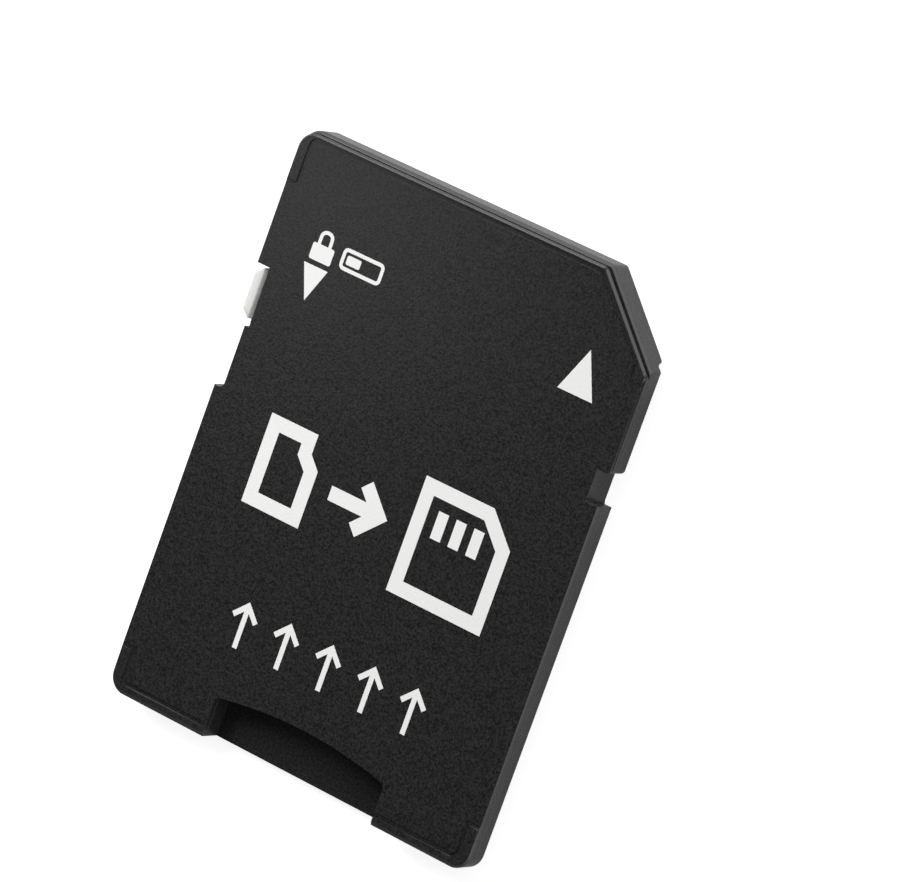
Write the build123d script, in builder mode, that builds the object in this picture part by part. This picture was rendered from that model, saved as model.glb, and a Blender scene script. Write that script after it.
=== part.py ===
"""Memory card adapter: a full-size card body that takes a small memory card from behind.

X runs across the card with the cut corner on its positive side, Y runs along it towards the
contacts, and Z rises from the contact face to the label face. The origin is on the contact
face, under the middle of the card. All sizes are in millimetres.
"""
import os
from math import sqrt

from build123d import *

# Card body
CARD_WIDTH = 24.0
CARD_LENGTH = 32.0
CARD_THICKNESS = 2.1
CORNER_CUT = 4.2
CORNER_RADIUS = 1.0
CUT_CORNER_RADIUS = 0.35
RAIL_WIDTH = 0.75
RAIL_LEAD = 0.25
PAD_RECESS = 0.7
FOOT_BEVEL = 0.15
REAR_LEDGE_WIDTH = 0.7
REAR_LEDGE_DEPTH = 0.12
PARTING_HEIGHT = 1.7
RIM_BEVEL = 0.15

# Cover: its lip, the shadow groove under the lip, and the label field with the groove round it
LIP_INSET = 0.18
LIP_THICKNESS = 0.16
LIP_BEVEL = 0.12
GROOVE_DEPTH = 0.07
LABEL_DEPTH = 0.02
LABEL_RIM = 0.2
LABEL_SIDE_RIM = 0.65
LABEL_REAR_RIM = 0.52
LABEL_CORNER_RADIUS = 0.5
LABEL_GROOVE_WIDTH = 0.22
LABEL_GROOVE_DEPTH = 0.03
LABEL_LEFT_BREAK = 2.94
LABEL_RIGHT_BREAK = 5.0
LABEL_REAR_BREAK = 2.45
REAR_SLOPE_WIDTH = 0.22
REAR_SLOPE_DROP = 0.1
FINGER_CUT_DEPTH = 2.25
FINGER_CUT_BOW = 0.6
FINGER_CUT_CORNER_RADIUS = 0.3

# Small card that the adapter takes, and the slot for it
SMALL_CARD_WIDTH = 11.0
SMALL_CARD_LENGTH = 15.0
SMALL_CARD_NOSE_STEP = 1.3
SMALL_CARD_NOSE_LENGTH = 6.1
SLOT_CENTRE = 0.18
SLOT_SIDE_CLEARANCE = 0.15
SLOT_END_CLEARANCE = 0.2
SLOT_FLOOR = 0.6
SLOT_WALL = 0.55

# Walls and pockets of the base
SIDE_WALL = 1.0
FRONT_WALL = 0.45
REAR_WALL = 0.8
CUT_WALL = 0.6
SHELF_DEPTH = 0.6
POCKET_GAP = 0.8

# Notches in the two long sides
RIGHT_NOTCH_SET_BACK = 9.83
RIGHT_NOTCH_LENGTH = 1.75
RIGHT_NOTCH_DEPTH = 0.82
RIGHT_NOTCH_RADIUS = 0.3
NOTCH_BACKING = 0.65
LEFT_NOTCH_SET_BACK = 7.7
LEFT_NOTCH_SPARE = 0.7
LEFT_NOTCH_DEPTH = 0.62
LEFT_NOTCH_RADIUS = 0.3
SLIDER_WINDOW_DEPTH = 0.89
SLIDER_WINDOW_LENGTH = 3.35

# Lock slider
SLIDER_TRAVEL = 3.2
SLIDER_TOP = 1.96
SLIDER_UNDERSIDE = 0.76
SLIDER_FACE_LENGTH = 2.0
SLIDER_KNOB_LENGTH = 2.9
SLIDER_FOOT_LENGTH = 3.1
SLIDER_FOOT_DEPTH = 0.85
SLIDER_FOOT_THICKNESS = 0.62
SLIDER_CLEARANCE = 0.05
SLIDER_END_GAP = 0.1
CHANNEL_WALL = 0.4

# Welding pins of the cover and their sockets in the base
PIN_DIAMETER = 0.9
PIN_LENGTH = 0.7
PIN_FIT = 0.05
PIN_BOSS_WALL = 0.6
PIN_SIDE_INSET = 1.5
PIN_REAR_INSET = 2.8
PIN_SLOT_INSET = 2.2
PIN_FRONT_INSET = 11.6

# Contact pads
PAD_LENGTH = 4.8
PAD_GAP = 0.64
PAD_RIGHT_MARGIN = 0.49
PAD_LEFT_MARGIN = 0.34
PAD_SET_BACK = 0.5
LONG_PAD_SET_BACK = 0.06
NARROW_PAD_LOSS = 0.36
NARROW_PAD_GAP = 0.43
PAD_SEVEN_GAP = 0.6
PAD_NINE_GAP = 0.92
PAD_NINE_CORNER_GAP = 0.59
PAD_NINE_LENGTH = 3.65
PAD_CORNER_RADIUS = 0.12
WINDOW_MARGIN = 0.14

# Stamped terminals
METAL = 0.15
STRIP_WIDTH = 0.6
STRIP_BEND_RADIUS = 0.7
FAN_START = 1.1
PAD_NINE_FAN_START = 0.6
FAN_END_GAP = 0.3
FAN_STAGGER = 0.35
FINGER_COUNT = 8
FINGER_PITCH = 1.1
FINGER_LENGTH = 3.4
FINGER_TIP_LENGTH = 0.65
FINGER_LOW_RUN = 0.8
FINGER_CONTACT_RISE = 0.15
FINGER_BEND_RADIUS = 0.2
FINGER_PIT_FLOOR = 0.2
FINGER_PIT_GAP = 0.1
FINGER_PIT_MARGIN = 0.3
JOG_LENGTH = 0.6
JOG_MARGIN = 0.3
BRIDGE_RISE = 0.35
BRIDGE_WIDTH = 0.6
BRIDGE_SET_BACK = 0.75
BRIDGE_LANDING = 0.5

# Moulded carrier of the terminals
CARRIER_CLEARANCE = 0.05
GROOVE_CLEARANCE = 0.03
CARRIER_BAR_DEPTH = 5.6
CARRIER_ARM_WIDTH = 1.2
CARRIER_PIN_GAP = 0.8
CARRIER_REAR_BAR = 2.1
PAD_SLIT_WIDTH = 0.25

# Detent spring that holds the small card by the notch in its side
SPRING_SHEET = 0.12
SPRING_HEIGHT = 0.9
SPRING_LENGTH = 5.2
SPRING_POCKET_WIDTH = 0.95
SPRING_NOSE_REACH = 0.35
SPRING_NOSE_BACK = 8.6
SPRING_NOSE_HALF = 0.8
SPRING_BEND_RADIUS = 0.2
SPRING_SEAT_GAP = 0.03

# Places worked out from the sizes above
LEFT = -CARD_WIDTH / 2
RIGHT = CARD_WIDTH / 2
REAR = -CARD_LENGTH / 2
FRONT = CARD_LENGTH / 2
BEYOND = 1.0

SLOT_WIDTH = SMALL_CARD_WIDTH + 2 * SLOT_SIDE_CLEARANCE
SLOT_LEFT = SLOT_CENTRE - SLOT_WIDTH / 2
SLOT_RIGHT = SLOT_CENTRE + SLOT_WIDTH / 2
SLOT_END = REAR + SMALL_CARD_LENGTH + SLOT_END_CLEARANCE
NOSE_RIGHT = SLOT_RIGHT - SMALL_CARD_NOSE_STEP
NOSE_START = SLOT_END - SMALL_CARD_NOSE_LENGTH
FINGER_CENTRE = (SLOT_LEFT + NOSE_RIGHT) / 2

BAY_LEFT = LEFT + SIDE_WALL
BAY_RIGHT = RIGHT - SIDE_WALL
BAY_FRONT = FRONT - FRONT_WALL
BAY_REAR = SLOT_END + SHELF_DEPTH

RIGHT_NOTCH_FRONT = FRONT - RIGHT_NOTCH_SET_BACK
RIGHT_NOTCH_REAR = RIGHT_NOTCH_FRONT - RIGHT_NOTCH_LENGTH
LEFT_NOTCH_FRONT = FRONT - LEFT_NOTCH_SET_BACK
SLIDER_REST_FRONT = LEFT_NOTCH_FRONT - SLIDER_END_GAP
LEFT_NOTCH_REAR = SLIDER_REST_FRONT - SLIDER_KNOB_LENGTH - SLIDER_TRAVEL - LEFT_NOTCH_SPARE

PIN_BOSS_RADIUS = PIN_DIAMETER / 2 + PIN_FIT + PIN_BOSS_WALL
PIN_X = BAY_RIGHT - PIN_SIDE_INSET
PIN_ROWS = (REAR + PIN_REAR_INSET, SLOT_END - PIN_SLOT_INSET, FRONT - PIN_FRONT_INSET)
PIN_PLACES = [(side * PIN_X, row) for row in PIN_ROWS for side in (-1, 1)]

# Nine pads share the width of the bay; the last two are narrower
PAD_ROOM = BAY_RIGHT - BAY_LEFT - PAD_RIGHT_MARGIN - PAD_LEFT_MARGIN + 2 * NARROW_PAD_LOSS
PAD_WIDTH = (PAD_ROOM - PAD_NINE_GAP - 5 * PAD_GAP - PAD_SEVEN_GAP - NARROW_PAD_GAP) / 9
NARROW_PAD_WIDTH = PAD_WIDTH - NARROW_PAD_LOSS
PAD_PITCH = PAD_WIDTH + PAD_GAP
PAD_NINE_X = BAY_RIGHT - PAD_RIGHT_MARGIN - PAD_WIDTH / 2
PAD_ONE_X = PAD_NINE_X - PAD_WIDTH - PAD_NINE_GAP
WINDOW_FRONT = FRONT - FRONT_WALL
PAD_FRONT = WINDOW_FRONT - PAD_SET_BACK
PAD_REAR = PAD_FRONT - PAD_LENGTH
BRIDGE_Y = PAD_REAR - BRIDGE_SET_BACK
STRIP_HEIGHT = PAD_RECESS + METAL / 2
FINGER_LOW_HEIGHT = FINGER_PIT_FLOOR + FINGER_PIT_GAP + METAL / 2

CARRIER_BAR_REAR = BAY_FRONT - CARRIER_BAR_DEPTH
CARRIER_SPAN_RIGHT = PIN_X - PIN_BOSS_RADIUS - CARRIER_PIN_GAP
CARRIER_SPAN_LEFT = -CARRIER_SPAN_RIGHT
PIT_LEFT = FINGER_CENTRE - (FINGER_COUNT - 1) * FINGER_PITCH / 2 - STRIP_WIDTH / 2 - FINGER_PIT_MARGIN
PIT_RIGHT = 2 * FINGER_CENTRE - PIT_LEFT
PIT_REAR = SLOT_END - FINGER_LENGTH - FINGER_PIT_MARGIN
PIT_FRONT = SLOT_END + JOG_MARGIN + JOG_LENGTH + JOG_MARGIN

SLIDER_INNER = LEFT + LEFT_NOTCH_DEPTH + SLIDER_FOOT_DEPTH
CHANNEL_INNER = SLIDER_INNER + SLIDER_CLEARANCE
CHANNEL_REAR = SLIDER_REST_FRONT - SLIDER_FOOT_LENGTH - SLIDER_TRAVEL - SLIDER_END_GAP
SLIDER_FOOT_TOP = PARTING_HEIGHT - SLIDER_CLEARANCE
CHANNEL_FLOOR = SLIDER_FOOT_TOP - SLIDER_FOOT_THICKNESS - SLIDER_CLEARANCE

SPRING_POCKET_LEFT = SLOT_RIGHT + SLOT_WALL
SPRING_POCKET_RIGHT = SPRING_POCKET_LEFT + SPRING_POCKET_WIDTH
SPRING_NOSE_Y = SLOT_END - SPRING_NOSE_BACK
SPRING_FRONT = SPRING_NOSE_Y + SPRING_LENGTH / 2
SPRING_REAR = SPRING_NOSE_Y - SPRING_LENGTH / 2


def cut_corner_sum(inset):
    """x + y along the cut corner, moved in by the inset."""
    return RIGHT + FRONT - CORNER_CUT - inset * sqrt(2)


def block(x_min, x_max, y_min, y_max):
    """Adds a rectangle between two corners to the sketch."""
    with Locations(((x_min + x_max) / 2, (y_min + y_max) / 2)):
        return Rectangle(x_max - x_min, y_max - y_min)


def cut_rectangle(left, right, rear, front, cut_inset):
    """Rectangle whose front right corner is cut off, at the inset from the card's own cut."""
    cut = cut_corner_sum(cut_inset)
    with BuildSketch() as shape:
        with BuildLine():
            Polyline((left, rear), (right, rear), (right, cut - right), (cut - front, front),
                     (left, front), close=True)
        make_face()
    return shape.sketch


def card_outline(front_inset=0):
    """The card's outline with three round corners and one cut, its front and cut moved in."""
    cut = cut_corner_sum(front_inset)
    with BuildSketch() as outline:
        add(cut_rectangle(LEFT, RIGHT, REAR, FRONT - front_inset, front_inset))
        round_corners = [corner for corner in outline.vertices() if corner.X + corner.Y < cut - CORNER_CUT / 2]
        fillet(round_corners, CORNER_RADIUS)
        fillet([corner for corner in outline.vertices() if abs(corner.X + corner.Y - cut) < CORNER_CUT / 100],
               CUT_CORNER_RADIUS)
    return outline.sketch


def right_notch():
    """The positioning notch in the right-hand side, round at the front corner of its mouth."""
    radius = RIGHT_NOTCH_RADIUS
    with BuildSketch() as notch:
        block(RIGHT - radius, RIGHT + BEYOND, RIGHT_NOTCH_REAR, RIGHT_NOTCH_FRONT + radius)
        with Locations((RIGHT - radius, RIGHT_NOTCH_FRONT + radius)):
            Circle(radius, mode=Mode.SUBTRACT)
        block(RIGHT - RIGHT_NOTCH_DEPTH, RIGHT, RIGHT_NOTCH_REAR, RIGHT_NOTCH_FRONT)
    return notch.sketch


def left_notch():
    """The long notch in which the lock slider shows, round at its rear end."""
    with BuildSketch() as notch:
        block(LEFT - BEYOND, LEFT + LEFT_NOTCH_DEPTH, LEFT_NOTCH_REAR, LEFT_NOTCH_FRONT)
        fillet(notch.vertices().sort_by(Axis.Y)[:2].sort_by(Axis.X)[-1], LEFT_NOTCH_RADIUS)
    return notch.sketch


def label_field(inset=0):
    """The label field, open to both sides between its breaks, and moved in by the inset."""
    side = LABEL_SIDE_RIM + inset
    rim = LIP_INSET + LABEL_RIM + inset
    rear = REAR + LABEL_REAR_BREAK + inset
    with BuildSketch() as field:
        add(cut_rectangle(LEFT + side, RIGHT - side, REAR + LABEL_REAR_RIM + inset, FRONT - rim, rim))
        fillet(field.vertices(), LABEL_CORNER_RADIUS - inset)
        block(LEFT - BEYOND, 0, rear, FRONT - LABEL_LEFT_BREAK - inset)
        block(0, RIGHT + BEYOND, rear, FRONT - LABEL_RIGHT_BREAK - inset)
    return field.sketch


def pad_place(number):
    """Middle, width, front end and rear end of a contact pad."""
    if number == 9:
        front = cut_corner_sum(CUT_WALL) - PAD_NINE_X - PAD_WIDTH / 2 - PAD_NINE_CORNER_GAP
        return PAD_NINE_X, PAD_WIDTH, front, front - PAD_NINE_LENGTH
    if number <= 6:
        front = WINDOW_FRONT - LONG_PAD_SET_BACK if number in (3, 4) else PAD_FRONT
        return PAD_ONE_X - (number - 1) * PAD_PITCH, PAD_WIDTH, front, PAD_REAR
    middle = PAD_ONE_X - 5 * PAD_PITCH - PAD_WIDTH / 2 - PAD_SEVEN_GAP - NARROW_PAD_WIDTH / 2
    if number == 8:
        middle -= NARROW_PAD_WIDTH + NARROW_PAD_GAP
    return middle, NARROW_PAD_WIDTH, PAD_FRONT, PAD_REAR


def finger_x(index):
    """Middle of a spring finger, counted from the cut corner's side."""
    return FINGER_CENTRE + ((FINGER_COUNT - 1) / 2 - index) * FINGER_PITCH


def pad_shape(number, clearance=0):
    """A contact pad, seen from above."""
    middle, width, front, rear = pad_place(number)
    with BuildSketch() as pad:
        block(middle - width / 2 - clearance, middle + width / 2 + clearance, rear - clearance,
              front + clearance)
        fillet(pad.vertices(), PAD_CORNER_RADIUS)
    return pad.sketch


def strip_shape(number, finger, clearance=0):
    """The strip that leads from a pad to the root of its finger, seen from above."""
    middle, _, _, rear = pad_place(number)
    fan_start = rear - (PAD_NINE_FAN_START if number == 9 else FAN_START)
    fan_end = PIT_FRONT + FAN_END_GAP + min(finger, FINGER_COUNT - 1 - finger) * FAN_STAGGER
    end = SLOT_END + JOG_MARGIN + JOG_LENGTH
    with BuildSketch() as strip:
        with BuildLine():
            FilletPolyline((middle, rear + STRIP_WIDTH), (middle, fan_start),
                           (finger_x(finger), fan_end), (finger_x(finger), end),
                           radius=STRIP_BEND_RADIUS)
        trace(line_width=STRIP_WIDTH + 2 * clearance)
    return strip.sketch


def stub_shape(clearance=0):
    """The short tail behind pad 3, where the ground bridge starts, seen from above."""
    middle, _, _, rear = pad_place(3)
    half = STRIP_WIDTH / 2 + clearance
    with BuildSketch() as stub:
        block(middle - half, middle + half, BRIDGE_Y - BRIDGE_WIDTH / 2 - clearance,
              rear + STRIP_WIDTH)
    return stub.sketch


def finger_profile(finger):
    """Side view of a finger, from its jog down under the small card to its turned-down tip."""
    apex = SLOT_FLOOR + FINGER_CONTACT_RISE - METAL / 2
    jog_front = SLOT_END + JOG_MARGIN + JOG_LENGTH
    apex_y = SLOT_END - FINGER_LENGTH + FINGER_TIP_LENGTH
    with BuildSketch(Plane.YZ.offset(finger_x(finger) - STRIP_WIDTH / 2)) as profile:
        with BuildLine():
            FilletPolyline((jog_front + STRIP_WIDTH, STRIP_HEIGHT), (jog_front, STRIP_HEIGHT),
                           (jog_front - JOG_LENGTH, FINGER_LOW_HEIGHT),
                           (SLOT_END - FINGER_LOW_RUN, FINGER_LOW_HEIGHT), (apex_y, apex),
                           (apex_y - FINGER_TIP_LENGTH, FINGER_LOW_HEIGHT), radius=FINGER_BEND_RADIUS)
        trace(line_width=METAL)
    return profile.sketch


def bridge_profile():
    """Front view of the raised strap that joins pads 3 and 6 over the strips of pads 4 and 5."""
    start = pad_place(3)[0]
    end = pad_place(6)[0]
    top = STRIP_HEIGHT + BRIDGE_RISE
    with BuildSketch(Plane.XZ.offset(-BRIDGE_Y)) as profile:
        with BuildLine():
            FilletPolyline((start, STRIP_HEIGHT), (start - BRIDGE_LANDING, STRIP_HEIGHT),
                           (start - BRIDGE_LANDING - BRIDGE_RISE, top),
                           (end + BRIDGE_LANDING + BRIDGE_RISE, top),
                           (end + BRIDGE_LANDING, STRIP_HEIGHT), (end, STRIP_HEIGHT),
                           radius=METAL)
        trace(line_width=METAL)
    return profile.sketch


# Base: body with a bevel along its front rim, and guide rails that end at the cut corner
with BuildPart() as bottom_shell:
    with BuildSketch():
        add(card_outline())
    extrude(amount=PARTING_HEIGHT - RIM_BEVEL)
    with BuildSketch():
        block(LEFT - BEYOND, LEFT + RAIL_WIDTH, REAR - BEYOND, FRONT + BEYOND)
        block(RIGHT - RAIL_WIDTH, RIGHT + BEYOND, REAR - BEYOND, FRONT - CORNER_CUT + RAIL_LEAD)
    extrude(amount=PAD_RECESS, mode=Mode.SUBTRACT)
    chamfer(bottom_shell.faces().sort_by(Axis.Z)[0].edges(), length=FOOT_BEVEL)
    with BuildSketch(Plane.XY.offset(PARTING_HEIGHT - RIM_BEVEL)):
        add(card_outline())
    with BuildSketch(Plane.XY.offset(PARTING_HEIGHT)):
        add(card_outline(RIM_BEVEL))
    loft(ruled=True)

    # Shallow ledge across the rear of the contact face
    with BuildSketch():
        block(LEFT, RIGHT, REAR, REAR + REAR_LEDGE_WIDTH)
    extrude(amount=REAR_LEDGE_DEPTH, mode=Mode.SUBTRACT)

    # Terminal bay and the pockets beside the slot, open upwards
    with BuildSketch(Plane.XY.offset(PAD_RECESS)):
        add(cut_rectangle(BAY_LEFT, BAY_RIGHT, BAY_REAR, BAY_FRONT, CUT_WALL))
        block(SLOT_LEFT, NOSE_RIGHT, SLOT_END, BAY_REAR)
    extrude(amount=PARTING_HEIGHT - PAD_RECESS, mode=Mode.SUBTRACT)
    with BuildSketch(Plane.XY.offset(SLOT_FLOOR)):
        pocket_front = BAY_REAR - POCKET_GAP
        pocket_rear = REAR + REAR_WALL
        block(BAY_LEFT, SLOT_LEFT - SLOT_WALL, pocket_rear, pocket_front)
        block(SPRING_POCKET_RIGHT + SLOT_WALL, BAY_RIGHT, pocket_rear, pocket_front)
        block(NOSE_RIGHT + SLOT_WALL, BAY_RIGHT, SPRING_FRONT + SLOT_WALL, pocket_front)
    extrude(amount=PARTING_HEIGHT - SLOT_FLOOR, mode=Mode.SUBTRACT)

    # Bosses for the pins, the backing behind the notch and the block round the slider's channel
    with BuildSketch(Plane.XY.offset(SLOT_FLOOR)):
        with Locations(*PIN_PLACES):
            Circle(PIN_BOSS_RADIUS)
        block(RIGHT - RIGHT_NOTCH_DEPTH - NOTCH_BACKING, RIGHT - RIGHT_NOTCH_DEPTH,
              RIGHT_NOTCH_REAR - NOTCH_BACKING, RIGHT_NOTCH_FRONT + NOTCH_BACKING)
        block(BAY_LEFT, CHANNEL_INNER + CHANNEL_WALL, CHANNEL_REAR - CHANNEL_WALL,
              LEFT_NOTCH_FRONT + CHANNEL_WALL)
    extrude(amount=PARTING_HEIGHT - SLOT_FLOOR)
    with Locations(*[(x, y, PARTING_HEIGHT) for x, y in PIN_PLACES]):
        Hole(PIN_DIAMETER / 2 + PIN_FIT, depth=PIN_LENGTH + 2 * PIN_FIT)

    # Slot for the small card, wide behind and narrow where its nose goes
    with BuildSketch(Plane.XY.offset(SLOT_FLOOR)):
        with BuildLine():
            Polyline((SLOT_LEFT, REAR - BEYOND), (SLOT_RIGHT, REAR - BEYOND),
                     (SLOT_RIGHT, NOSE_START - SMALL_CARD_NOSE_STEP), (NOSE_RIGHT, NOSE_START),
                     (NOSE_RIGHT, SLOT_END), (SLOT_LEFT, SLOT_END), close=True)
        make_face()
    extrude(amount=PARTING_HEIGHT - SLOT_FLOOR, mode=Mode.SUBTRACT)
    with BuildSketch(Plane.XY.offset(FINGER_PIT_FLOOR)):
        block(PIT_LEFT, PIT_RIGHT, PIT_REAR, PIT_FRONT)
    extrude(amount=PAD_RECESS - FINGER_PIT_FLOOR, mode=Mode.SUBTRACT)

    # Pocket of the detent spring, with a gap for its nose
    with BuildSketch(Plane.XY.offset(SLOT_FLOOR)):
        block(SPRING_POCKET_LEFT, SPRING_POCKET_RIGHT, SPRING_REAR, SPRING_FRONT)
        block(SLOT_RIGHT, SPRING_POCKET_LEFT, SPRING_NOSE_Y - SPRING_NOSE_HALF - SLOT_WALL / 2,
              SPRING_NOSE_Y + SPRING_NOSE_HALF + SLOT_WALL / 2)
    extrude(amount=PARTING_HEIGHT - SLOT_FLOOR, mode=Mode.SUBTRACT)

    # Contact windows; pads 7 and 8 share one, and that of pad 9 reaches into the cut corner
    with BuildSketch():
        for number in (1, 2, 3, 4, 5, 6):
            middle, width, _, rear = pad_place(number)
            half = width / 2 + WINDOW_MARGIN
            block(middle - half, middle + half, rear - WINDOW_MARGIN, WINDOW_FRONT)
        half = NARROW_PAD_WIDTH / 2 + WINDOW_MARGIN
        block(pad_place(8)[0] - half, pad_place(7)[0] + half, PAD_REAR - WINDOW_MARGIN, WINDOW_FRONT)
        middle, width, _, rear = pad_place(9)
        left = middle - width / 2 - WINDOW_MARGIN
        right = middle + width / 2 + WINDOW_MARGIN
        cut = cut_corner_sum(CUT_WALL)
        with BuildLine():
            Polyline((left, rear - WINDOW_MARGIN), (right, rear - WINDOW_MARGIN), (right, cut - right),
                     (left, cut - left), close=True)
        make_face()
    extrude(amount=PAD_RECESS, mode=Mode.SUBTRACT)

    # Side notches and the channel of the lock slider
    with BuildSketch():
        add(right_notch())
    extrude(amount=PARTING_HEIGHT, mode=Mode.SUBTRACT)
    with BuildSketch(Plane.XY.offset(PAD_RECESS)):
        add(left_notch())
    extrude(amount=PARTING_HEIGHT - PAD_RECESS, mode=Mode.SUBTRACT)
    with BuildSketch(Plane.XY.offset(CHANNEL_FLOOR)):
        block(LEFT + LEFT_NOTCH_DEPTH, CHANNEL_INNER, CHANNEL_REAR, LEFT_NOTCH_FRONT)
    extrude(amount=PARTING_HEIGHT - CHANNEL_FLOOR, mode=Mode.SUBTRACT)


# Cover: thin plate with a sunk label field, a finger cut over the slot and welding pins
with BuildPart() as top_shell:
    with BuildSketch(Plane.XY.offset(PARTING_HEIGHT)):
        add(card_outline(LIP_INSET + GROOVE_DEPTH))
    extrude(amount=CARD_THICKNESS - PARTING_HEIGHT - LIP_THICKNESS)
    with BuildSketch(Plane.XY.offset(CARD_THICKNESS - LIP_THICKNESS)):
        add(card_outline(LIP_INSET))
    extrude(amount=LIP_THICKNESS)
    face = top_shell.faces().sort_by(Axis.Z)[-1]
    chamfer([edge for edge in face.edges() if edge.center().Y > REAR + LIP_BEVEL], length=LIP_BEVEL)

    # Slope along the rear edge
    with BuildSketch(Plane.YZ.offset(LEFT)):
        with BuildLine():
            Polyline((REAR, CARD_THICKNESS), (REAR + REAR_SLOPE_WIDTH, CARD_THICKNESS),
                     (REAR, CARD_THICKNESS - REAR_SLOPE_DROP), close=True)
        make_face()
    extrude(amount=CARD_WIDTH, mode=Mode.SUBTRACT)

    # Label field, a shade lower than the rim, with a fine groove along its edge
    with BuildSketch(Plane.XY.offset(CARD_THICKNESS - LABEL_DEPTH)):
        add(label_field())
    extrude(amount=LABEL_DEPTH, mode=Mode.SUBTRACT)
    with BuildSketch(Plane.XY.offset(CARD_THICKNESS - LABEL_DEPTH)):
        add(label_field())
        add(label_field(LABEL_GROOVE_WIDTH), mode=Mode.SUBTRACT)
    extrude(amount=-LABEL_GROOVE_DEPTH, mode=Mode.SUBTRACT)

    # Finger cut with its bowed end, and the two side notches
    with BuildSketch(Plane.XY.offset(PARTING_HEIGHT)) as finger_cut:
        shoulder = REAR + FINGER_CUT_DEPTH
        with BuildLine():
            Polyline((SLOT_LEFT, shoulder), (SLOT_LEFT, REAR - BEYOND), (SLOT_RIGHT, REAR - BEYOND),
                     (SLOT_RIGHT, shoulder))
            ThreePointArc((SLOT_RIGHT, shoulder), (SLOT_CENTRE, shoulder + FINGER_CUT_BOW),
                          (SLOT_LEFT, shoulder))
        make_face()
        fillet(finger_cut.vertices().group_by(Axis.Y)[-1], FINGER_CUT_CORNER_RADIUS)
    extrude(amount=CARD_THICKNESS - PARTING_HEIGHT, mode=Mode.SUBTRACT)
    with BuildSketch(Plane.XY.offset(PARTING_HEIGHT)):
        add(right_notch())
    extrude(amount=CARD_THICKNESS - PARTING_HEIGHT, mode=Mode.SUBTRACT)
    with BuildSketch(Plane.XY.offset(PARTING_HEIGHT)):
        add(left_notch())
        block(LEFT - BEYOND, LEFT + SLIDER_WINDOW_DEPTH, LEFT_NOTCH_FRONT - SLIDER_WINDOW_LENGTH,
              LEFT_NOTCH_FRONT)
    extrude(amount=CARD_THICKNESS - PARTING_HEIGHT, mode=Mode.SUBTRACT)

    with BuildSketch(Plane.XY.offset(PARTING_HEIGHT)):
        with Locations(*PIN_PLACES):
            Circle(PIN_DIAMETER / 2)
    extrude(amount=-PIN_LENGTH)


# Lock slider: a knob with slanted ends in the notch, on a foot that runs in the channel
with BuildPart() as lock_slider:
    knob_inner = LEFT + LEFT_NOTCH_DEPTH - SLIDER_CLEARANCE
    knob_rear = SLIDER_REST_FRONT - SLIDER_KNOB_LENGTH
    slant = (SLIDER_KNOB_LENGTH - SLIDER_FACE_LENGTH) / 2
    with BuildSketch(Plane.XY.offset(SLIDER_UNDERSIDE)):
        with BuildLine():
            Polyline((knob_inner, knob_rear), (knob_inner, SLIDER_REST_FRONT),
                     (LEFT + SLIDER_CLEARANCE, SLIDER_REST_FRONT - slant),
                     (LEFT + SLIDER_CLEARANCE, knob_rear + slant), close=True)
        make_face()
    extrude(amount=SLIDER_TOP - SLIDER_UNDERSIDE)
    with BuildSketch(Plane.XY.offset(SLIDER_FOOT_TOP - SLIDER_FOOT_THICKNESS)):
        block(knob_inner, SLIDER_INNER, SLIDER_REST_FRONT - SLIDER_FOOT_LENGTH, SLIDER_REST_FRONT)
    extrude(amount=SLIDER_FOOT_THICKNESS)


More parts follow.
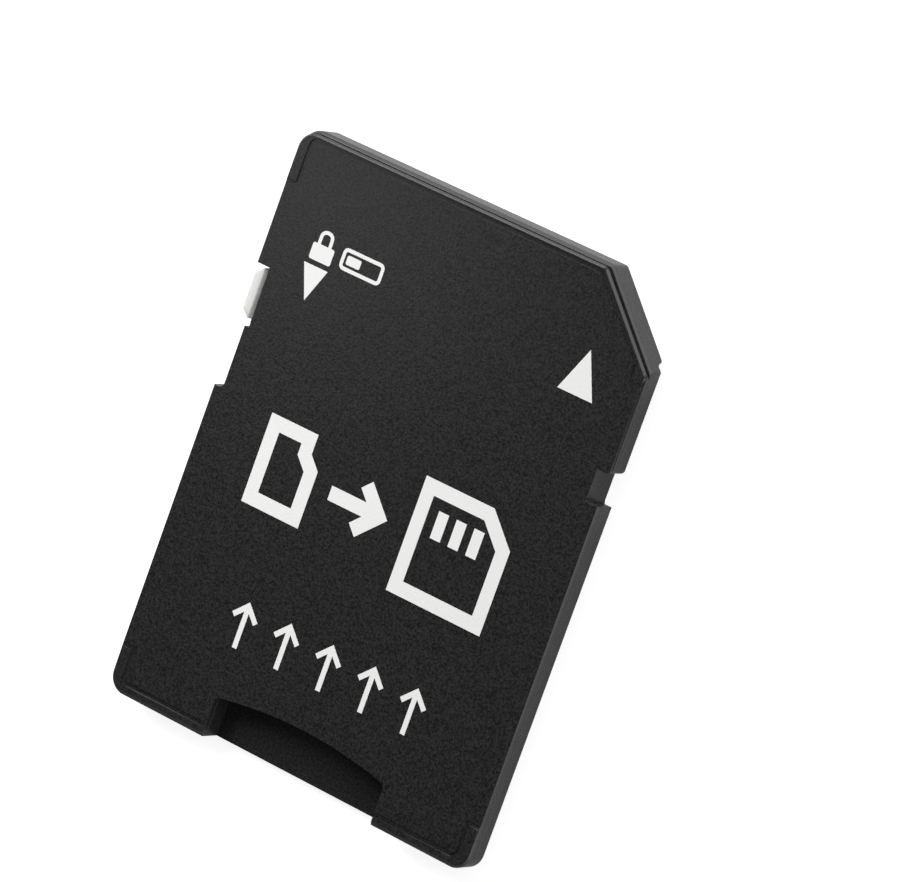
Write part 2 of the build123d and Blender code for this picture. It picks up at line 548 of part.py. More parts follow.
# Carrier: moulded frame whose underside is grooved for the terminals
STRIPS = {9: 0, 1: 1, 2: 2, 4: 3, 5: 4, 6: 5, 7: 6, 8: 7}
with BuildPart() as terminal_carrier:
    gap = CARRIER_CLEARANCE
    with BuildSketch(Plane.XY.offset(PAD_RECESS)):
        right = BAY_RIGHT - gap
        add(cut_rectangle(BAY_LEFT + gap, right, CARRIER_BAR_REAR, BAY_FRONT - gap, CUT_WALL + gap))
        middle, width, _, rear = pad_place(9)
        block(middle - width / 2 - 2 * WINDOW_MARGIN, right, rear - 2 * WINDOW_MARGIN, CARRIER_BAR_REAR)
        bar_front = SLOT_END + CARRIER_REAR_BAR
        arm = CARRIER_ARM_WIDTH
        block(CARRIER_SPAN_LEFT, CARRIER_SPAN_LEFT + arm, BAY_REAR + gap, CARRIER_BAR_REAR)
        block(CARRIER_SPAN_RIGHT - arm, CARRIER_SPAN_RIGHT, BAY_REAR + gap, CARRIER_BAR_REAR)
        block(CARRIER_SPAN_LEFT, CARRIER_SPAN_RIGHT, BAY_REAR + gap, bar_front)
        block(SLOT_LEFT + gap, NOSE_RIGHT - gap, SLOT_END, BAY_REAR + gap)
    extrude(amount=PARTING_HEIGHT - PAD_RECESS)

    # Comb that reaches down into the finger pit
    with BuildSketch(Plane.XY.offset(FINGER_PIT_FLOOR)):
        block(PIT_LEFT + gap, PIT_RIGHT - gap, SLOT_END, PIT_FRONT - gap)
    extrude(amount=PAD_RECESS - FINGER_PIT_FLOOR)
    with BuildSketch(Plane.XY.offset(FINGER_PIT_FLOOR)):
        for finger in range(FINGER_COUNT):
            half = STRIP_WIDTH / 2 + GROOVE_CLEARANCE
            block(finger_x(finger) - half, finger_x(finger) + half, SLOT_END - BEYOND,
                  SLOT_END + CARRIER_REAR_BAR)
    extrude(amount=PAD_RECESS + METAL - FINGER_PIT_FLOOR, mode=Mode.SUBTRACT)

    # Grooves for the pads and their strips
    with BuildSketch(Plane.XY.offset(PAD_RECESS)):
        for number, finger in STRIPS.items():
            add(pad_shape(number, GROOVE_CLEARANCE))
            add(strip_shape(number, finger, GROOVE_CLEARANCE))
        add(pad_shape(3, GROOVE_CLEARANCE))
        add(stub_shape(GROOVE_CLEARANCE))
    extrude(amount=METAL, mode=Mode.SUBTRACT)

    # Slit between the narrow pads
    slit = (pad_place(7)[0] + pad_place(8)[0]) / 2
    with BuildSketch(Plane.XY.offset(PAD_RECESS)):
        block(slit - PAD_SLIT_WIDTH / 2, slit + PAD_SLIT_WIDTH / 2, PAD_REAR, PAD_FRONT)
    extrude(amount=PARTING_HEIGHT - PAD_RECESS, mode=Mode.SUBTRACT)


# Detent spring: a hairpin leaf whose nose snaps into the small card's side notch
with BuildPart() as card_detent_spring:
    outer_leg = SPRING_POCKET_RIGHT - SPRING_SEAT_GAP - SPRING_SHEET / 2
    inner_leg = SPRING_POCKET_LEFT + SPRING_SEAT_GAP + SPRING_SHEET / 2
    end_gap = SPRING_SHEET / 2 + SPRING_SEAT_GAP
    with BuildSketch(Plane.XY.offset((SLOT_FLOOR + PARTING_HEIGHT - SPRING_HEIGHT) / 2)):
        with BuildLine():
            FilletPolyline((outer_leg, SPRING_REAR + end_gap), (outer_leg, SPRING_FRONT - end_gap),
                           (inner_leg, SPRING_FRONT - end_gap),
                           (inner_leg, SPRING_NOSE_Y + SPRING_NOSE_HALF),
                           (SLOT_RIGHT - SPRING_NOSE_REACH, SPRING_NOSE_Y),
                           (inner_leg, SPRING_NOSE_Y - SPRING_NOSE_HALF),
                           (inner_leg, SPRING_REAR + 4 * end_gap), radius=SPRING_BEND_RADIUS)
        trace(line_width=SPRING_SHEET)
    extrude(amount=SPRING_HEIGHT)


# Terminals: one stamping for each pad but 3, which shares the ground stamping of pad 6
terminals = {}
for number, finger in STRIPS.items():
    with BuildPart() as terminal:
        with BuildSketch(Plane.XY.offset(PAD_RECESS)):
            add(pad_shape(number))
            add(strip_shape(number, finger))
            if number == 6:
                add(pad_shape(3))
                add(stub_shape())
        extrude(amount=METAL)
        extrude(finger_profile(finger), amount=STRIP_WIDTH)
        if number == 6:
            extrude(bridge_profile(), amount=BRIDGE_WIDTH / 2, both=True)
    name = "ground_terminal_pads_3_and_6" if number == 6 else f"terminal_pad_{number}"
    terminals[name] = terminal

pieces = {
    "bottom_shell": bottom_shell,
    "top_shell": top_shell,
    "lock_slider": lock_slider,
    "terminal_carrier": terminal_carrier,
    "card_detent_spring": card_detent_spring,
    **terminals,
}
os.makedirs("parts", exist_ok=True)
for name, piece in pieces.items():
    piece.part.label = name
    export_step(piece.part, f"parts/{name}.step")
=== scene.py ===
"""Looks of the memory card adapter: its mouldings, metal, print, studio stage and camera."""

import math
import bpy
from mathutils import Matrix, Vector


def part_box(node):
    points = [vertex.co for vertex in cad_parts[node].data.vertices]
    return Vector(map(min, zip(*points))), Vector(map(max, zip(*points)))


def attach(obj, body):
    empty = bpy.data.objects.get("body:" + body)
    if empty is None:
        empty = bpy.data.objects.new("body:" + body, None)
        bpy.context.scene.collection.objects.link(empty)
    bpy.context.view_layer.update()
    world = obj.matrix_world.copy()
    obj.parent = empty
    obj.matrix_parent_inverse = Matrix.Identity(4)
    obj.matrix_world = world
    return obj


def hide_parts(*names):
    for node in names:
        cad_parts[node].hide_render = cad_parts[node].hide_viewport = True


bl_info = {
    "name": "Memory Card Adapter",
    "version": (1, 0, 0),
    "blender": (4, 5, 0),
    "location": "View3D > Sidebar > Card Adapter",
    "description": "Dresses the packed memory card adapter and sets its studio stage",
    "category": "Object",
}

import bmesh
import bpy
from bpy.props import FloatProperty, FloatVectorProperty, PointerProperty
from mathutils import Matrix, Vector

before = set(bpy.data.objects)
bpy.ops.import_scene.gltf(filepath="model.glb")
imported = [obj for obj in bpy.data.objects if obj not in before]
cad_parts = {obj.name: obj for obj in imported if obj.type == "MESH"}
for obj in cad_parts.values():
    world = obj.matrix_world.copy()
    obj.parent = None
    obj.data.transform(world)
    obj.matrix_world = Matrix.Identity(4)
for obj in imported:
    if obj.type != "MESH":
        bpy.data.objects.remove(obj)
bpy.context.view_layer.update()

MM = 0.001

# Levels and sides of the card that tell its faces apart.
CARD_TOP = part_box("top_shell")[1].z
PARTING_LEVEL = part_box("bottom_shell")[1].z
GROOVE_FLOOR = CARD_TOP - 0.05 * MM
LIP_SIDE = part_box("top_shell")[1].x - 0.2 * MM

# Faces that meet at less than FLAT_ANGLE are one flat. Edges are creased, rounded or blunted above
# the other angles. A shell's edges no longer than SHORT_FACET aren't rounded, and a rounding takes
# at most one part of the FACE_PARTS that the face beside it is wide.
WELD_DISTANCE = 0.0005 * MM
FLAT_ANGLE = math.radians(0.5)
CREASE_ANGLE = math.radians(20)
SHARP_ANGLE = math.radians(40)
POINTED_ANGLE = math.radians(120)
SHORT_FACET = 0.08 * MM
FACE_PARTS = 3
ROUNDING_SEGMENTS = 2
BLUNTING_SEGMENTS = 4
CORNER_SEGMENTS = 5

# The texture covers the faces that lie nearly level and the walls of low steps.
TEXTURED_LEVEL = 0.95
LOW_STEP = 0.06 * MM

# The noise's usual span, and the narrower one in which the textured black goes from dark to light.
NOISE_SPAN = (0.25, 0.75)
TINT_SPAN, TINT_FACTORS = (0.32, 0.68), (0.4, 1.7)

# Outlines of the white marks in millimetres: corners, or left, right, bottom and top of a box.
SLIDER_TRIANGLE = ((-9.25, 9.42), (-7.69, 9.42), (-8.47, 7.53))
CORNER_TRIANGLE = ((7.4, 9.12), (9.6, 9.12), (8.5, 11.6))
PADLOCK_BODY = (-9.1, -7.7, 9.7, 10.6)
PADLOCK_SHACKLE = (-8.85, -7.95, 10.1, 11.4)
SWITCH_TRACK = (-7.2, -4.5, 9.85, 11.05)
SWITCH_KNOB = (-6.85, -5.95, 10.2, 10.7)
SMALL_CARD = ((-8.0, -3.6), (-4.2, -3.6), (-4.2, -0.4), (-4.9, 0.3), (-4.9, 1.4), (-8.0, 1.4))
LARGE_CARD = ((2.0, -4.4), (8.1, -4.4), (8.1, 0.3), (6.4, 2.0), (2.0, 2.0))
FIRST_BAR = (3.4, 4.05, -0.9, 0.6)
BAR_COUNT = 3
BAR_PITCH = 1.15

# Each arrow's tail, tip and reach of its head, and its centre; an entry arrow is drawn in a stroke
# of ENTRY_STROKES thin ones.
CARD_ARROW = (-1.9, 1.9, 1.55)
CARD_ARROW_CENTRE = (-1.2, -1.1)
ENTRY_ARROW = (-1.3, 1.3, 0.85)
ENTRY_ARROW_CENTRE = (-5.4, -9.6)
ENTRY_ARROW_COUNT = 5
ENTRY_ARROW_PITCH = 2.8
ENTRY_STROKES = 1.5

# Sockets of the colour mixing node, which share their names with others of that node.
MIX_FACTOR, MIX_DARK, MIX_LIGHT, MIX_RESULT = 0, 6, 7, 2

# Name, direction, distance and side in metres, and power in watts of each lamp.
LAMPS = (("front_softbox", (-0.45, 0.7, 0.68), 0.5, 0.3, 1.75),
         ("corner_softbox", (-0.64, 0.17, 0.75), 0.052, 0.02, 0.0038))

# The world's light fades over a span of heights, and from its bright side to the opposite one.
FADING_HEIGHTS, FADING_STRENGTHS = (0.5, 0.7), (1.9, 0.08)
BRIGHT_SIDE = (0.55, 0.8, 0.0)
SIDE_SPAN, SIDE_STRENGTHS = (-0.9, 1.0), (0.15, 1.05)

# How much of the floor's glow reflections see.
MIRRORED_GLOW = 0.16

# Width of the camera's sensor in millimetres, and the nearest and farthest it sees in metres.
SENSOR_WIDTH = 36.0
VIEW_RANGE = (0.01, 20.0)


def linear(hex_colour):
    """Turns an sRGB hex colour into a linear colour with alpha."""
    parts = [int(hex_colour[place:place + 2], 16) / 255 for place in (1, 3, 5)]
    return tuple(part / 12.92 if part <= 0.04045 else ((part + 0.055) / 1.055) ** 2.4
                 for part in parts) + (1.0,)


def shaded(colour, factor):
    """A colour made darker or lighter by a factor."""
    return tuple(part * factor for part in colour[:3]) + (1.0,)


def colour_setting(name, description, hex_colour):
    """A colour that the user can change."""
    return FloatVectorProperty(name=name, description=description, subtype="COLOR", size=4,
                               min=0.0, max=1.0, default=linear(hex_colour))


def length_setting(name, description, millimetres):
    """A length that the user can change."""
    return FloatProperty(name=name, description=description, subtype="DISTANCE", unit="LENGTH",
                         min=0.0, precision=6, default=millimetres * MM)


def angle_setting(name, description, degrees):
    """An angle that the user can change."""
    return FloatProperty(name=name, description=description, subtype="ANGLE",
                         default=math.radians(degrees))


class CardFinishSettings(bpy.types.PropertyGroup):
    """Colours, grain and edge rounding of the card's pieces."""
    shell_colour: colour_setting("Shell colour", "Black plastic of cover and base", "#252526")
    carrier_colour: colour_setting("Carrier colour", "Dark plastic round the contacts", "#2E2926")
    slider_colour: colour_setting("Slider colour", "White plastic of the lock slider", "#DFDFDD")
    contact_colour: colour_setting("Contact colour", "Gold plate of the contacts", "#F4E2A8")
    spring_colour: colour_setting("Spring colour", "Bare spring strip", "#C4C3BE")
    ink_colour: colour_setting("Ink colour", "White print on the label field", "#F4F4F3")
    grain: length_setting("Grain", "Width of a grain of the moulded texture", 0.12)
    grain_depth: length_setting("Grain depth", "Depth of the moulded texture", 0.03)
    shell_edge: length_setting("Shell edge", "Rounding of the shells' edges", 0.03)
    rail_end: length_setting("Rail end", "Blunting of the rail's point at the cut corner", 0.45)
    groove_sinking: length_setting("Groove sinking", "Added depth of the groove round the label", 0.025)
    slider_edge: length_setting("Slider edge", "Rounding of the slider's edges", 0.06)


class CardPrintSettings(bpy.types.PropertyGroup):
    """Sizes of the white marks on the label field."""
    ink_height: length_setting("Ink height", "Thickness of the ink film", 0.012)
    label_depth: length_setting("Label depth", "How far the label field lies under the rim", 0.02)
    thin_stroke: length_setting("Thin stroke", "Stroke of the small pictograms", 0.2)
    bold_stroke: length_setting("Bold stroke", "Stroke of the large pictogram", 0.8)


class CardStageSettings(bpy.types.PropertyGroup):
    """Camera and floor."""
    azimuth: angle_setting("Azimuth", "Camera's turn round the card", 111.261)
    elevation: angle_setting("Elevation", "Camera's height above the horizon", 59.018)
    roll: angle_setting("Roll", "Camera's turn about its own line of sight", -88.598)
    distance: length_setting("Distance", "Camera to the point it looks at", 316.73)
    aim: FloatVectorProperty(name="Aim", description="Point on the floor that the camera looks at",
                             subtype="TRANSLATION", size=3, default=(1.4234 * MM, 3.7066 * MM, 0.0))
    lens: FloatProperty(name="Lens", description="Focal length on a 36 mm sensor",
                        subtype="DISTANCE_CAMERA", default=244.66)
    floor_size: length_setting("Floor size", "Side of the square floor", 3000)


def finish():
    """The finish settings of this scene."""
    return bpy.context.scene.card_finish


def add_node(tree, kind, inputs=None, **attributes):
    """Adds a node with its attributes; each input is set to a value or linked from a socket."""
    node = tree.nodes.new(kind)
    for name, value in attributes.items():
        setattr(node, name, value)
    for key, value in (inputs or {}).items():
        if isinstance(value, bpy.types.NodeSocket):
            tree.links.new(value, node.inputs[key])
        else:
            node.inputs[key].default_value = value
    return node


def map_range(tree, value, span, results=(0.0, 1.0), interpolation="LINEAR"):
    """Socket that goes from one result to the other while a value runs through a span."""
    node = add_node(tree, "ShaderNodeMapRange",
                    {"Value": value, "From Min": span[0], "From Max": span[1],
                     "To Min": results[0], "To Max": results[1]}, interpolation_type=interpolation)
    return node.outputs["Result"]


def calculate(tree, operation, first, second):
    """Socket that holds the result of one operation on two values."""
    return add_node(tree, "ShaderNodeMath", {0: first, 1: second}, operation=operation).outputs[0]


def new_material(name):
    """An empty node material, and the tree it is built in."""
    material = bpy.data.materials.new(name)
    material.use_nodes = True
    material.node_tree.nodes.clear()
    return material, material.node_tree


def grained_shader(tree, grain, depth, roughness, inputs, along=1.0, strength=0.5):
    """Principled shader whose relief and gloss follow noise of one grain width, drawn out along Y."""
    place = add_node(tree, "ShaderNodeTexCoord").outputs["Object"]
    drawn = add_node(tree, "ShaderNodeMapping", {"Vector": place, "Scale": (1.0, 1 / along, 1.0)})
    noise = add_node(tree, "ShaderNodeTexNoise",
                     {"Vector": drawn.outputs["Vector"], "Scale": 1 / grain, "Detail": 2.0,
                      "Roughness": 0.6})
    bump = add_node(tree, "ShaderNodeBump",
                    {"Height": noise.outputs["Fac"], "Strength": strength, "Distance": depth})
    gloss = map_range(tree, noise.outputs["Fac"], NOISE_SPAN, roughness)
    shader = add_node(tree, "ShaderNodeBsdfPrincipled",
                      {"Roughness": gloss, "Normal": bump.outputs["Normal"], **inputs})
    add_node(tree, "ShaderNodeOutputMaterial", {"Surface": shader.outputs[0]})
    return shader, noise


def spark_textured_abs():
    """ABS moulded in a spark-eroded tool: black, matt, with an even fine grain that breaks up gloss."""
    settings = finish()
    material, tree = new_material("black_abs_spark_textured")
    shader, noise = grained_shader(tree, settings.grain, settings.grain_depth, (0.28, 0.42),
                                   {"IOR": 1.54, "Specular IOR Level": 0.17}, strength=0.6)
    peaks = map_range(tree, noise.outputs["Fac"], TINT_SPAN)
    dark, light = (shaded(settings.shell_colour, factor) for factor in TINT_FACTORS)
    tint = add_node(tree, "ShaderNodeMix", {MIX_FACTOR: peaks, MIX_DARK: dark, MIX_LIGHT: light},
                    data_type="RGBA")
    tree.links.new(tint.outputs[MIX_RESULT], shader.inputs["Base Color"])
    return material


def polished_abs():
    """ABS against the smooth side of the tool: black walls and bevels with a soft clear sheen."""
    material, tree = new_material("black_abs_tool_polished")
    grained_shader(tree, grain=0.2 * MM, depth=0.002 * MM, roughness=(0.24, 0.34), strength=0.2,
                   inputs={"Base Color": finish().shell_colour, "IOR": 1.54,
                           "Specular IOR Level": 0.6})
    return material


def glass_filled_polymer():
    """Liquid crystal polymer with short glass: brown black, half matt, with faint flow streaks."""
    material, tree = new_material("brown_black_lcp_moulded")
    grained_shader(tree, grain=0.08 * MM, depth=0.006 * MM, roughness=(0.38, 0.58), along=5.0,
                   inputs={"Base Color": finish().carrier_colour})
    return material


def moulded_acetal():
    """Acetal: milky white, smooth from the tool, with a soft waxy gloss."""
    material, tree = new_material("white_acetal_moulded")
    grained_shader(tree, grain=0.25 * MM, depth=0.004 * MM, roughness=(0.34, 0.46), strength=0.4,
                   inputs={"Base Color": finish().slider_colour, "IOR": 1.48,
                           "Subsurface Weight": 0.7, "Subsurface Radius": (1.0, 0.95, 0.88),
                           "Subsurface Scale": 1.2 * MM})
    return material


def gold_plated_strip():
    """Copper strip, rolled, stamped and gold plated: pale gold, soft shine, fine rolling lines."""
    material, tree = new_material("gold_plated_rolled_strip")
    grained_shader(tree, grain=0.05 * MM, depth=0.002 * MM, roughness=(0.2, 0.34), along=25.0,
                   strength=0.35, inputs={"Base Color": finish().contact_colour, "Metallic": 1.0})
    return material


def spring_strip():
    """Stainless strip, cold rolled: grey and bright, with rolling lines along the leaf."""
    material, tree = new_material("stainless_cold_rolled_strip")
    grained_shader(tree, grain=0.04 * MM, depth=0.002 * MM, roughness=(0.24, 0.4), along=20.0,
                   strength=0.4, inputs={"Base Color": finish().spring_colour, "Metallic": 1.0})
    return material


def pad_printed_ink():
    """Two-part ink laid on by a silicone pad: white, matt, following the grain beneath it."""
    settings = finish()
    material, tree = new_material("white_ink_pad_printed")
    grained_shader(tree, settings.grain, settings.grain_depth, (0.5, 0.7),
                   {"Base Color": settings.ink_colour, "Specular IOR Level": 0.3}, strength=0.25)
    return material


def new_mesh(name, form, material):
    """Mesh of one material from a finished bmesh."""
    mesh = bpy.data.meshes.new(name)
    form.to_mesh(mesh)
    form.free()
    mesh.materials.append(material)
    return mesh


def new_object(name, data):
    """Adds an object to the scene."""
    added = bpy.data.objects.new(name, data)
    bpy.context.scene.collection.objects.link(added)
    return added


def make_piece(name, form, material, body):
    """Turns a finished bmesh into a shown piece that rides on a body."""
    piece = new_object(name, new_mesh(name, form, material))
    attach(piece, body)
    return piece


def whole_flats(node):
    """Copy of the mesh of a CAD piece, with the triangles of each flat joined and its edges creased."""
    form = bmesh.new()
    form.from_mesh(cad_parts[node].data)
    bmesh.ops.remove_doubles(form, verts=form.verts, dist=WELD_DISTANCE)
    bmesh.ops.dissolve_limit(form, angle_limit=FLAT_ANGLE, verts=form.verts, edges=form.edges)
    for edge in form.edges:
        edge.smooth = edge.calc_face_angle(0.0) < CREASE_ANGLE
    return form


def sink_label_groove(form):
    """Sinks the floor of the groove round the label, so that its two walls show as fine dark lines."""
    for corner in form.verts:
        if abs(corner.co.z - GROOVE_FLOOR) < WELD_DISTANCE and abs(corner.co.x) < LIP_SIDE:
            corner.co.z -= finish().groove_sinking


def blunt_rail_end(form):
    """Rounds the point in which the base's guide rail ends at the cut corner."""
    pointed = [edge for edge in form.edges if edge.calc_face_angle(0.0) > POINTED_ANGLE]
    rail_end = max(pointed, key=lambda edge: edge.verts[0].co.x)
    bmesh.ops.bevel(form, geom=[rail_end], offset=finish().rail_end, offset_type="OFFSET",
                    segments=BLUNTING_SEGMENTS, profile=0.5, affect="EDGES", material=-1)


def dress_node(form, node, name, material, body):
    """Piece made from the copied mesh of a CAD piece; it stands for the CAD piece."""
    bmesh.ops.triangulate(form, faces=form.faces)
    for face in form.faces:
        face.smooth = True
    piece = make_piece(name, form, material, body)
    # The normals that came with the CAD piece no longer fit the joined flats.
    piece.data.attributes.remove(piece.data.attributes["custom_normal"])
    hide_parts(node)
    return piece


def is_lip_underside(face):
    """Whether a face is the thin underside of the cover's lip, which tapers away at its ends."""
    return (face.normal.z < -TEXTURED_LEVEL
            and face.calc_center_median().z > PARTING_LEVEL + WELD_DISTANCE)


def mark_sharp_edges(form, width, shortest=0.0):
    """Marks the edges to be rounded, each for as much of the width as the faces beside it allow."""
    weight = form.edges.layers.float.new("bevel_weight_edge")
    for edge in form.edges:
        length = edge.calc_length()
        if (edge.calc_face_angle(0.0) > SHARP_ANGLE and length > shortest
                and not any(map(is_lip_underside, edge.link_faces))):
            room = min(face.calc_area() / length for face in edge.link_faces)
            edge[weight] = min(1.0, room / (FACE_PARTS * width))


def round_edges(piece, width):
    """Rounds the marked edges of a piece as its tool leaves them."""
    bevel = piece.modifiers.new("soft_edges", "BEVEL")
    bevel.width = width
    bevel.segments = ROUNDING_SEGMENTS
    bevel.limit_method = "WEIGHT"
    bevel.harden_normals = True
    bevel.use_clamp_overlap = False


def texture_flats(shell, wall_material):
    """Gives another material to the walls and bevels of a shell, which leaves its flats textured."""
    shell.data.materials.append(wall_material)
    for face in shell.data.polygons:
        levels = [shell.data.vertices[corner].co.z for corner in face.vertices]
        is_steep = abs(face.normal.z) < TEXTURED_LEVEL
        face.material_index = int(is_steep and max(levels) - min(levels) > LOW_STEP)


class CARD_OT_shells(bpy.types.Operator):
    """Adds the cover and the base, textured on their flats and polished on their walls."""
    bl_idname = "card.shells"
    bl_label = "Cover and base"

    def execute(self, context):
        textured, polished = spark_textured_abs(), polished_abs()
        width = finish().shell_edge
        for node, name, slot, reshape in (
                ("top_shell", "cover_moulding", "cover_plastic", sink_label_groove),
                ("bottom_shell", "base_moulding", "base_plastic", blunt_rail_end)):
            form = whole_flats(node)
            reshape(form)
            mark_sharp_edges(form, width, SHORT_FACET)
            shell = dress_node(form, node, name, textured, "case")
            round_edges(shell, width)
            texture_flats(shell, polished)
        return {"FINISHED"}


class CARD_OT_slider(bpy.types.Operator):
    """Adds the white lock slider."""
    bl_idname = "card.slider"
    bl_label = "Lock slider"

    def execute(self, context):
        width = finish().slider_edge
        form = whole_flats("lock_slider")
        mark_sharp_edges(form, width)
        slider = dress_node(form, "lock_slider", "slider_moulding", moulded_acetal(), "slider")
        round_edges(slider, width)
        return {"FINISHED"}


class CARD_OT_contacts(bpy.types.Operator):
    """Adds the terminals in their carrier and the detent spring."""
    bl_idname = "card.contacts"
    bl_label = "Contacts and spring"

    def execute(self, context):
        dress_node(whole_flats("terminal_carrier"), "terminal_carrier", "carrier_moulding",
                   glass_filled_polymer(), "case")
        gold = gold_plated_strip()
        for node in sorted(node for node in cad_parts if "terminal_pad" in node):
            dress_node(whole_flats(node), node, node.replace("terminal", "contact"), gold, "case")
        dress_node(whole_flats("card_detent_spring"), "card_detent_spring", "detent_spring_strip",
                   spring_strip(), "case")
        return {"FINISHED"}


def ink_shape(form, points, corner=0.0):
    """Flat ink with the given corners in millimetres, each of them rounded by the same radius."""
    level = CARD_TOP - bpy.context.scene.card_print.label_depth
    corners = [form.verts.new((x * MM, y * MM, level)) for x, y in points]
    face = form.faces.new(corners)
    face.normal_update()
    if face.normal.z < 0:
        face.normal_flip()
    if corner:
        rounded = bmesh.ops.bevel(form, geom=corners, offset=corner * MM, offset_type="OFFSET",
                                  segments=CORNER_SEGMENTS, profile=0.5, affect="VERTICES",
                                  material=-1)
        face = rounded["verts"][0].link_faces[0]
    return face


def ink_frame(form, points, stroke, corner=0.0):
    """Ink stroke that runs along the inside of an outline; gives back its faces."""
    face = ink_shape(form, points, corner)
    ring = bmesh.ops.inset_region(form, faces=[face], thickness=stroke * MM, use_even_offset=True,
                                  use_boundary=True)
    bmesh.ops.delete(form, geom=[face], context="FACES_ONLY")
    return ring["faces"]


def rectangle(left, right, bottom, top):
    """Corners of an upright rectangle."""
    return [(left, bottom), (right, bottom), (right, top), (left, top)]


def arrow_outline(tail, tip, reach, stroke):
    """Corners of an arrow along X, drawn in strokes, with its head spread to the reach."""
    half = stroke / 2
    slant = stroke * math.sqrt(0.5)
    upper = [(tail, half), (tip - 2 * slant - half, half), (tip - reach - slant, reach - slant),
             (tip - reach, reach)]
    return upper + [(tip, 0.0)] + [(x, -y) for x, y in reversed(upper)]


def placed(points, centre, up=False):
    """Points moved to a centre, and turned to run up the card instead of across it."""
    return [(centre[0] - y, centre[1] + x) if up else (centre[0] + x, centre[1] + y)
            for x, y in points]


def add_lock_sign(form, stroke):
    """A padlock beside a slide switch."""
    body = rectangle(*PADLOCK_BODY)
    ink_shape(form, body, corner=0.12)
    ring = ink_frame(form, rectangle(*PADLOCK_SHACKLE), stroke, corner=0.4)
    shackle = dict.fromkeys(part for face in ring for part in (face, *face.edges, *face.verts))
    body_top = max(y for x, y in body) * MM
    bmesh.ops.bisect_plane(form, geom=list(shackle), plane_co=(0, body_top, 0), plane_no=(0, -1, 0),
                           clear_outer=True)
    ink_frame(form, rectangle(*SWITCH_TRACK), stroke, corner=0.3)
    ink_shape(form, rectangle(*SWITCH_KNOB), corner=0.1)


def add_card_sign(form, stroke):
    """A small card, an arrow and the large card that it goes into."""
    ink_frame(form, SMALL_CARD, stroke)
    ink_shape(form, placed(arrow_outline(*CARD_ARROW, stroke), CARD_ARROW_CENTRE))
    ink_frame(form, LARGE_CARD, stroke)
    bar = rectangle(*FIRST_BAR)
    for place in range(BAR_COUNT):
        ink_shape(form, placed(bar, (BAR_PITCH * place, 0.0)))


def add_entry_arrows(form, stroke):
    """A row of arrows that shows which way the card goes into its host."""
    arrow = arrow_outline(*ENTRY_ARROW, stroke)
    left, level = ENTRY_ARROW_CENTRE
    for place in range(ENTRY_ARROW_COUNT):
        ink_shape(form, placed(arrow, (left + ENTRY_ARROW_PITCH * place, level), up=True))


def settle_order(form):
    """Puts the faces in one order each time, because those that an extrusion adds come in any."""
    for place, face in enumerate(sorted(form.faces, key=lambda face: face.calc_center_median()[:])):
        face.index = place
    form.faces.sort()


class CARD_OT_print(bpy.types.Operator):
    """Adds the white marks on the label field."""
    bl_idname = "card.print"
    bl_label = "Print"

    def execute(self, context):
        settings = context.scene.card_print
        thin, bold = settings.thin_stroke / MM, settings.bold_stroke / MM
        form = bmesh.new()
        ink_shape(form, SLIDER_TRIANGLE)
        ink_shape(form, CORNER_TRIANGLE)
        add_lock_sign(form, thin)
        add_card_sign(form, bold)
        add_entry_arrows(form, ENTRY_STROKES * thin)
        lift = bmesh.ops.extrude_face_region(form, geom=form.faces[:])
        raised = [part for part in lift["geom"] if isinstance(part, bmesh.types.BMVert)]
        bmesh.ops.translate(form, verts=raised, vec=(0, 0, settings.ink_height))
        bmesh.ops.recalc_face_normals(form, faces=form.faces)
        settle_order(form)
        make_piece("label_print", form, pad_printed_ink(), "case")
        return {"FINISHED"}


def paper_sweep():
    """Matt white paper: white to the eye and in reflections, and it keeps the card's shadow."""
    material, tree = new_material("white_paper_sweep")
    path = add_node(tree, "ShaderNodeLightPath")
    mirrored = calculate(tree, "MULTIPLY", path.outputs["Is Glossy Ray"], MIRRORED_GLOW)
    seen = calculate(tree, "MAXIMUM", path.outputs["Is Camera Ray"], mirrored)
    paper = add_node(tree, "ShaderNodeBsdfDiffuse", {"Color": linear("#D8D8D8")})
    glow = add_node(tree, "ShaderNodeEmission", {"Strength": seen, "Color": linear("#E6E6E6")})
    both = add_node(tree, "ShaderNodeAddShader", {0: paper.outputs[0], 1: glow.outputs[0]})
    add_node(tree, "ShaderNodeOutputMaterial", {"Surface": both.outputs[0]})
    return material


def studio_world():
    """Soft light from low all round, dark overhead, and white where the camera looks past the floor."""
    world = bpy.data.worlds.new("soft_studio")
    bpy.context.scene.world = world
    world.use_nodes = True
    tree = world.node_tree
    tree.nodes.clear()
    place = add_node(tree, "ShaderNodeTexCoord").outputs["Generated"]
    height = add_node(tree, "ShaderNodeSeparateXYZ", {"Vector": place}).outputs["Z"]
    dome = map_range(tree, height, FADING_HEIGHTS, FADING_STRENGTHS, "SMOOTHSTEP")
    towards = add_node(tree, "ShaderNodeVectorMath", {0: place, 1: BRIGHT_SIDE},
                       operation="DOT_PRODUCT").outputs["Value"]
    side = map_range(tree, towards, SIDE_SPAN, SIDE_STRENGTHS, "SMOOTHSTEP")
    path = add_node(tree, "ShaderNodeLightPath")
    strength = calculate(tree, "MAXIMUM", calculate(tree, "MULTIPLY", dome, side),
                         path.outputs["Is Camera Ray"])
    light = add_node(tree, "ShaderNodeBackground", {"Strength": strength, "Color": linear("#FFFFFF")})
    add_node(tree, "ShaderNodeOutputWorld", {"Surface": light.outputs[0]})


def soft_lamp(name, direction, distance, side, watts):
    """Square soft box that looks at the card from a direction."""
    data = bpy.data.lights.new(name, "AREA")
    data.size = side
    data.energy = watts
    lamp = new_object(name, data)
    away = Vector(direction).normalized()
    lamp.location = away * distance
    lamp.rotation_euler = away.to_track_quat("Z", "Y").to_euler()
    lamp.visible_camera = False


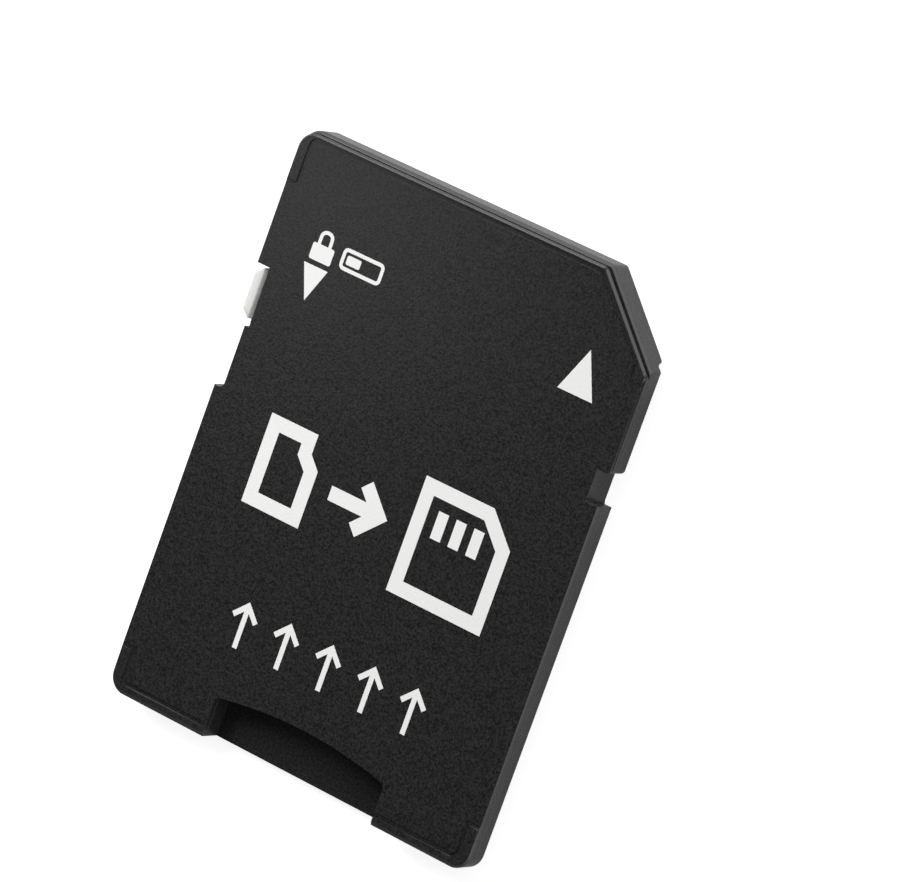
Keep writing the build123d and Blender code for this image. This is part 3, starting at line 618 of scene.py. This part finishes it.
def stage_camera(settings):
    """Camera at its turn, height and distance from its aim, rolled about its line of sight."""
    data = bpy.data.cameras.new("camera")
    data.lens = settings.lens
    data.sensor_width = SENSOR_WIDTH
    data.clip_start, data.clip_end = VIEW_RANGE
    camera = new_object("camera", data)
    turn, height, roll = settings.azimuth, settings.elevation, settings.roll
    back = Vector((math.sin(turn) * math.cos(height), -math.cos(turn) * math.cos(height),
                   math.sin(height)))
    level = Vector((math.cos(turn), math.sin(turn), 0.0))
    right = level * math.cos(roll) + back.cross(level) * math.sin(roll)
    up = back.cross(right)
    place = Matrix.Translation(Vector(settings.aim) + back * settings.distance)
    camera.matrix_world = place @ Matrix((right, up, back)).transposed().to_4x4()
    return camera


class CARD_OT_stage(bpy.types.Operator):
    """Adds the floor, the lamps, the world and the camera at the photograph's place."""
    bl_idname = "card.stage"
    bl_label = "Stage"

    def execute(self, context):
        settings = context.scene.card_stage
        context.scene.view_settings.view_transform = "Standard"
        form = bmesh.new()
        bmesh.ops.create_grid(form, x_segments=1, y_segments=1, size=settings.floor_size / 2)
        floor = new_object("floor", new_mesh("floor", form, paper_sweep()))
        studio_world()
        for lamp in LAMPS:
            soft_lamp(*lamp)
        context.scene.camera = stage_camera(settings)
        return {"FINISHED"}


class CARD_PT_adapter(bpy.types.Panel):
    """Lists the pieces of the adapter and the sizes and colours behind them."""
    bl_label = "Memory Card Adapter"
    bl_space_type = "VIEW_3D"
    bl_region_type = "UI"
    bl_category = "Card Adapter"

    def draw(self, context):
        for operator in OPERATORS:
            self.layout.operator(operator.bl_idname)
        for name in SETTINGS:
            group = getattr(context.scene, name)
            box = self.layout.box()
            for setting in group.__annotations__:
                box.prop(group, setting)


SETTINGS = {"card_finish": CardFinishSettings, "card_print": CardPrintSettings,
            "card_stage": CardStageSettings}
OPERATORS = (CARD_OT_shells, CARD_OT_slider, CARD_OT_contacts, CARD_OT_print, CARD_OT_stage)


def register():
    """Registers the classes and hangs the settings on the scene."""
    for group in (*SETTINGS.values(), *OPERATORS, CARD_PT_adapter):
        bpy.utils.register_class(group)
    for name, group in SETTINGS.items():
        setattr(bpy.types.Scene, name, PointerProperty(type=group))


def unregister():
    """Takes the settings and the classes away again."""
    for name in SETTINGS:
        delattr(bpy.types.Scene, name)
    for group in (CARD_PT_adapter, *OPERATORS, *SETTINGS.values()):
        bpy.utils.unregister_class(group)


def main():
    """Dresses the card and sets the stage."""
    register()
    bpy.ops.card.shells()
    bpy.ops.card.slider()
    bpy.ops.card.contacts()
    bpy.ops.card.print()
    bpy.ops.card.stage()


if __name__ == "__main__":
    main()
